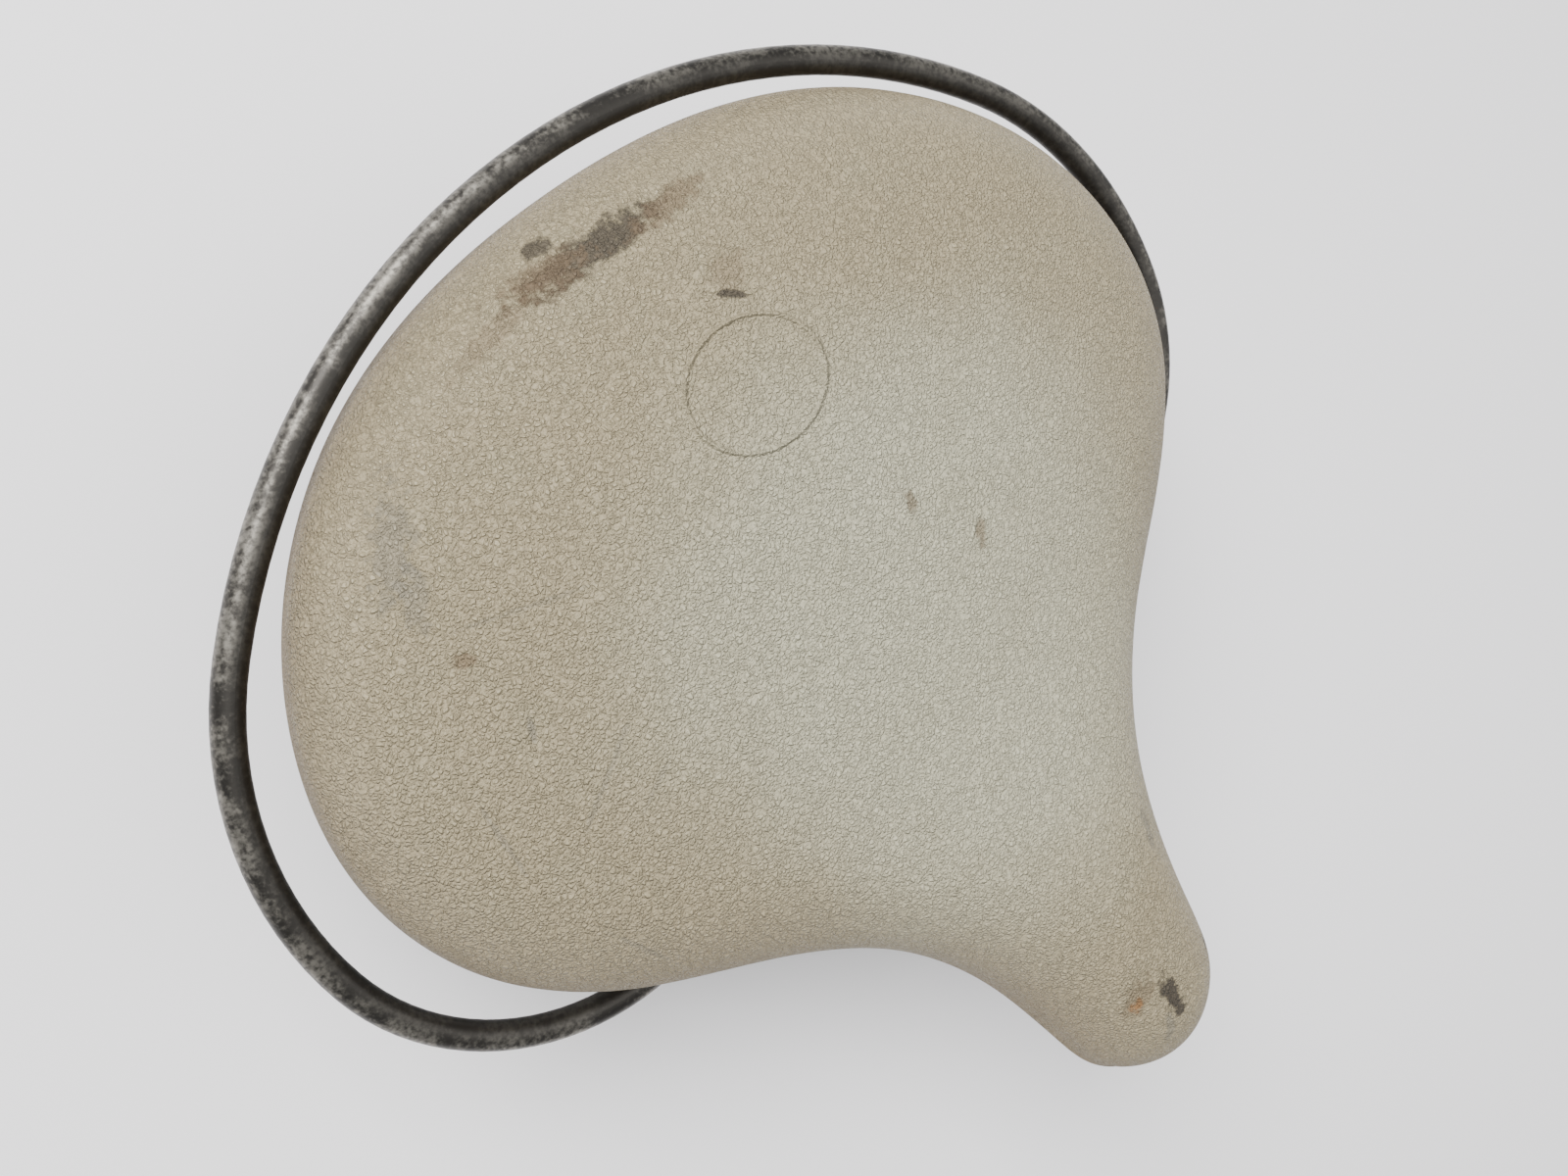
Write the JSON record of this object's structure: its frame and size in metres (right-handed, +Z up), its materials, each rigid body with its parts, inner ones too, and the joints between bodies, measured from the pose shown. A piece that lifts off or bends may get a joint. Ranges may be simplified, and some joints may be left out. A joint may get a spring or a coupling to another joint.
{
  "type": "sprung saddle",
  "caption": "Wide sprung cycle saddle with a padded cream cover, a tubular steel rod hoop around the rear, coil springs and a tilting seat post clamp.",
  "frame": {"origin": "centre of the seat post clamp's bore", "axes": "+Z up along the seat post, nose towards -Y, rider's left +X"},
  "size_m": [0.2658, 0.2556, 0.1048],
  "materials": {
    "cover_vinyl": "grained ivory vinyl, satin, stained and scuffed with age",
    "pad_felt": "pressed felt padding",
    "pan_steel": "black paint with rust at the edges",
    "band_steel": "dull plated strip",
    "rail_steel": "dark worn plating, mottled and rubbed bright on the outside",
    "bracket_steel": "black paint, chipped",
    "wire_steel": "dull plated spring wire",
    "spring_steel": "black enamel",
    "clamp_steel": "dull zinc plating",
    "fastener_steel": "dull zinc plating",
    "rivet_steel": "bare rivet steel"
  },
  "bodies": {
    "post_clamp": {"post_collar": "clamp_steel"},
    "cradle": {"clamp_bolt": "fastener_steel", "clamp_nut": "fastener_steel", "inner_cheek_left": "clamp_steel", "inner_cheek_right": "clamp_steel", "outer_cheek_left": "clamp_steel", "outer_cheek_right": "clamp_steel", "clamp_washer_left": "fastener_steel", "clamp_washer_right": "fastener_steel"},
    "chassis": {"chassis_wire": "wire_steel", "rear_crossbar": "bracket_steel", "lower_spring_cup_left": "bracket_steel", "lower_spring_cup_right": "bracket_steel", "lower_spring_bolt_left": "fastener_steel", "lower_spring_bolt_right": "fastener_steel", "lower_spring_nut_left": "fastener_steel", "lower_spring_nut_right": "fastener_steel", "coil_spring_left": "spring_steel", "coil_spring_right": "spring_steel"},
    "seat": {"cover": "cover_vinyl", "padding": "pad_felt", "seat_pan": "pan_steel", "hem_band": "band_steel", "crash_rail": "rail_steel", "rail_bracket": "bracket_steel", "rear_bridge": "bracket_steel", "nose_bracket": "bracket_steel", "nose_rivet_1": "rivet_steel", "nose_rivet_2": "rivet_steel", "upper_spring_cup_left": "bracket_steel", "upper_spring_cup_right": "bracket_steel", "upper_spring_bolt_left": "fastener_steel", "upper_spring_bolt_right": "fastener_steel", "upper_spring_nut_left": "fastener_steel", "upper_spring_nut_right": "fastener_steel", "rail_bolt_left": "fastener_steel", "rail_bolt_right": "fastener_steel", "rail_washer_left": "fastener_steel", "rail_washer_right": "fastener_steel", "rail_nut_left": "fastener_steel", "rail_nut_right": "fastener_steel", "bridge_rivet_left_1": "rivet_steel", "bridge_rivet_left_2": "rivet_steel", "bridge_rivet_right_1": "rivet_steel", "bridge_rivet_right_2": "rivet_steel", "rail_bracket_rivet_left_1": "rivet_steel", "rail_bracket_rivet_left_2": "rivet_steel", "rail_bracket_rivet_right_1": "rivet_steel", "rail_bracket_rivet_right_2": "rivet_steel"}
  },
  "joints": [
    {"name": "seat_tilt", "type": "hinge", "parent": "post_clamp", "child": "cradle", "pos_m": [0, 0.028, 0], "axis": [1, 0, 0], "range_deg": [-15, 15]},
    {"name": "seat_slide", "type": "slide", "parent": "cradle", "child": "chassis", "axis": [0, 1, 0], "range_m": [-0.008, 0.008]},
    {"name": "spring_flex", "type": "hinge", "parent": "chassis", "child": "seat", "pos_m": [0, -0.089, 0.05], "axis": [1, 0, 0], "range_deg": [-6, 0], "stiffness_Nm_per_rad": 1361, "deforming": ["coil_spring_left", "coil_spring_right"]}
  ]
}
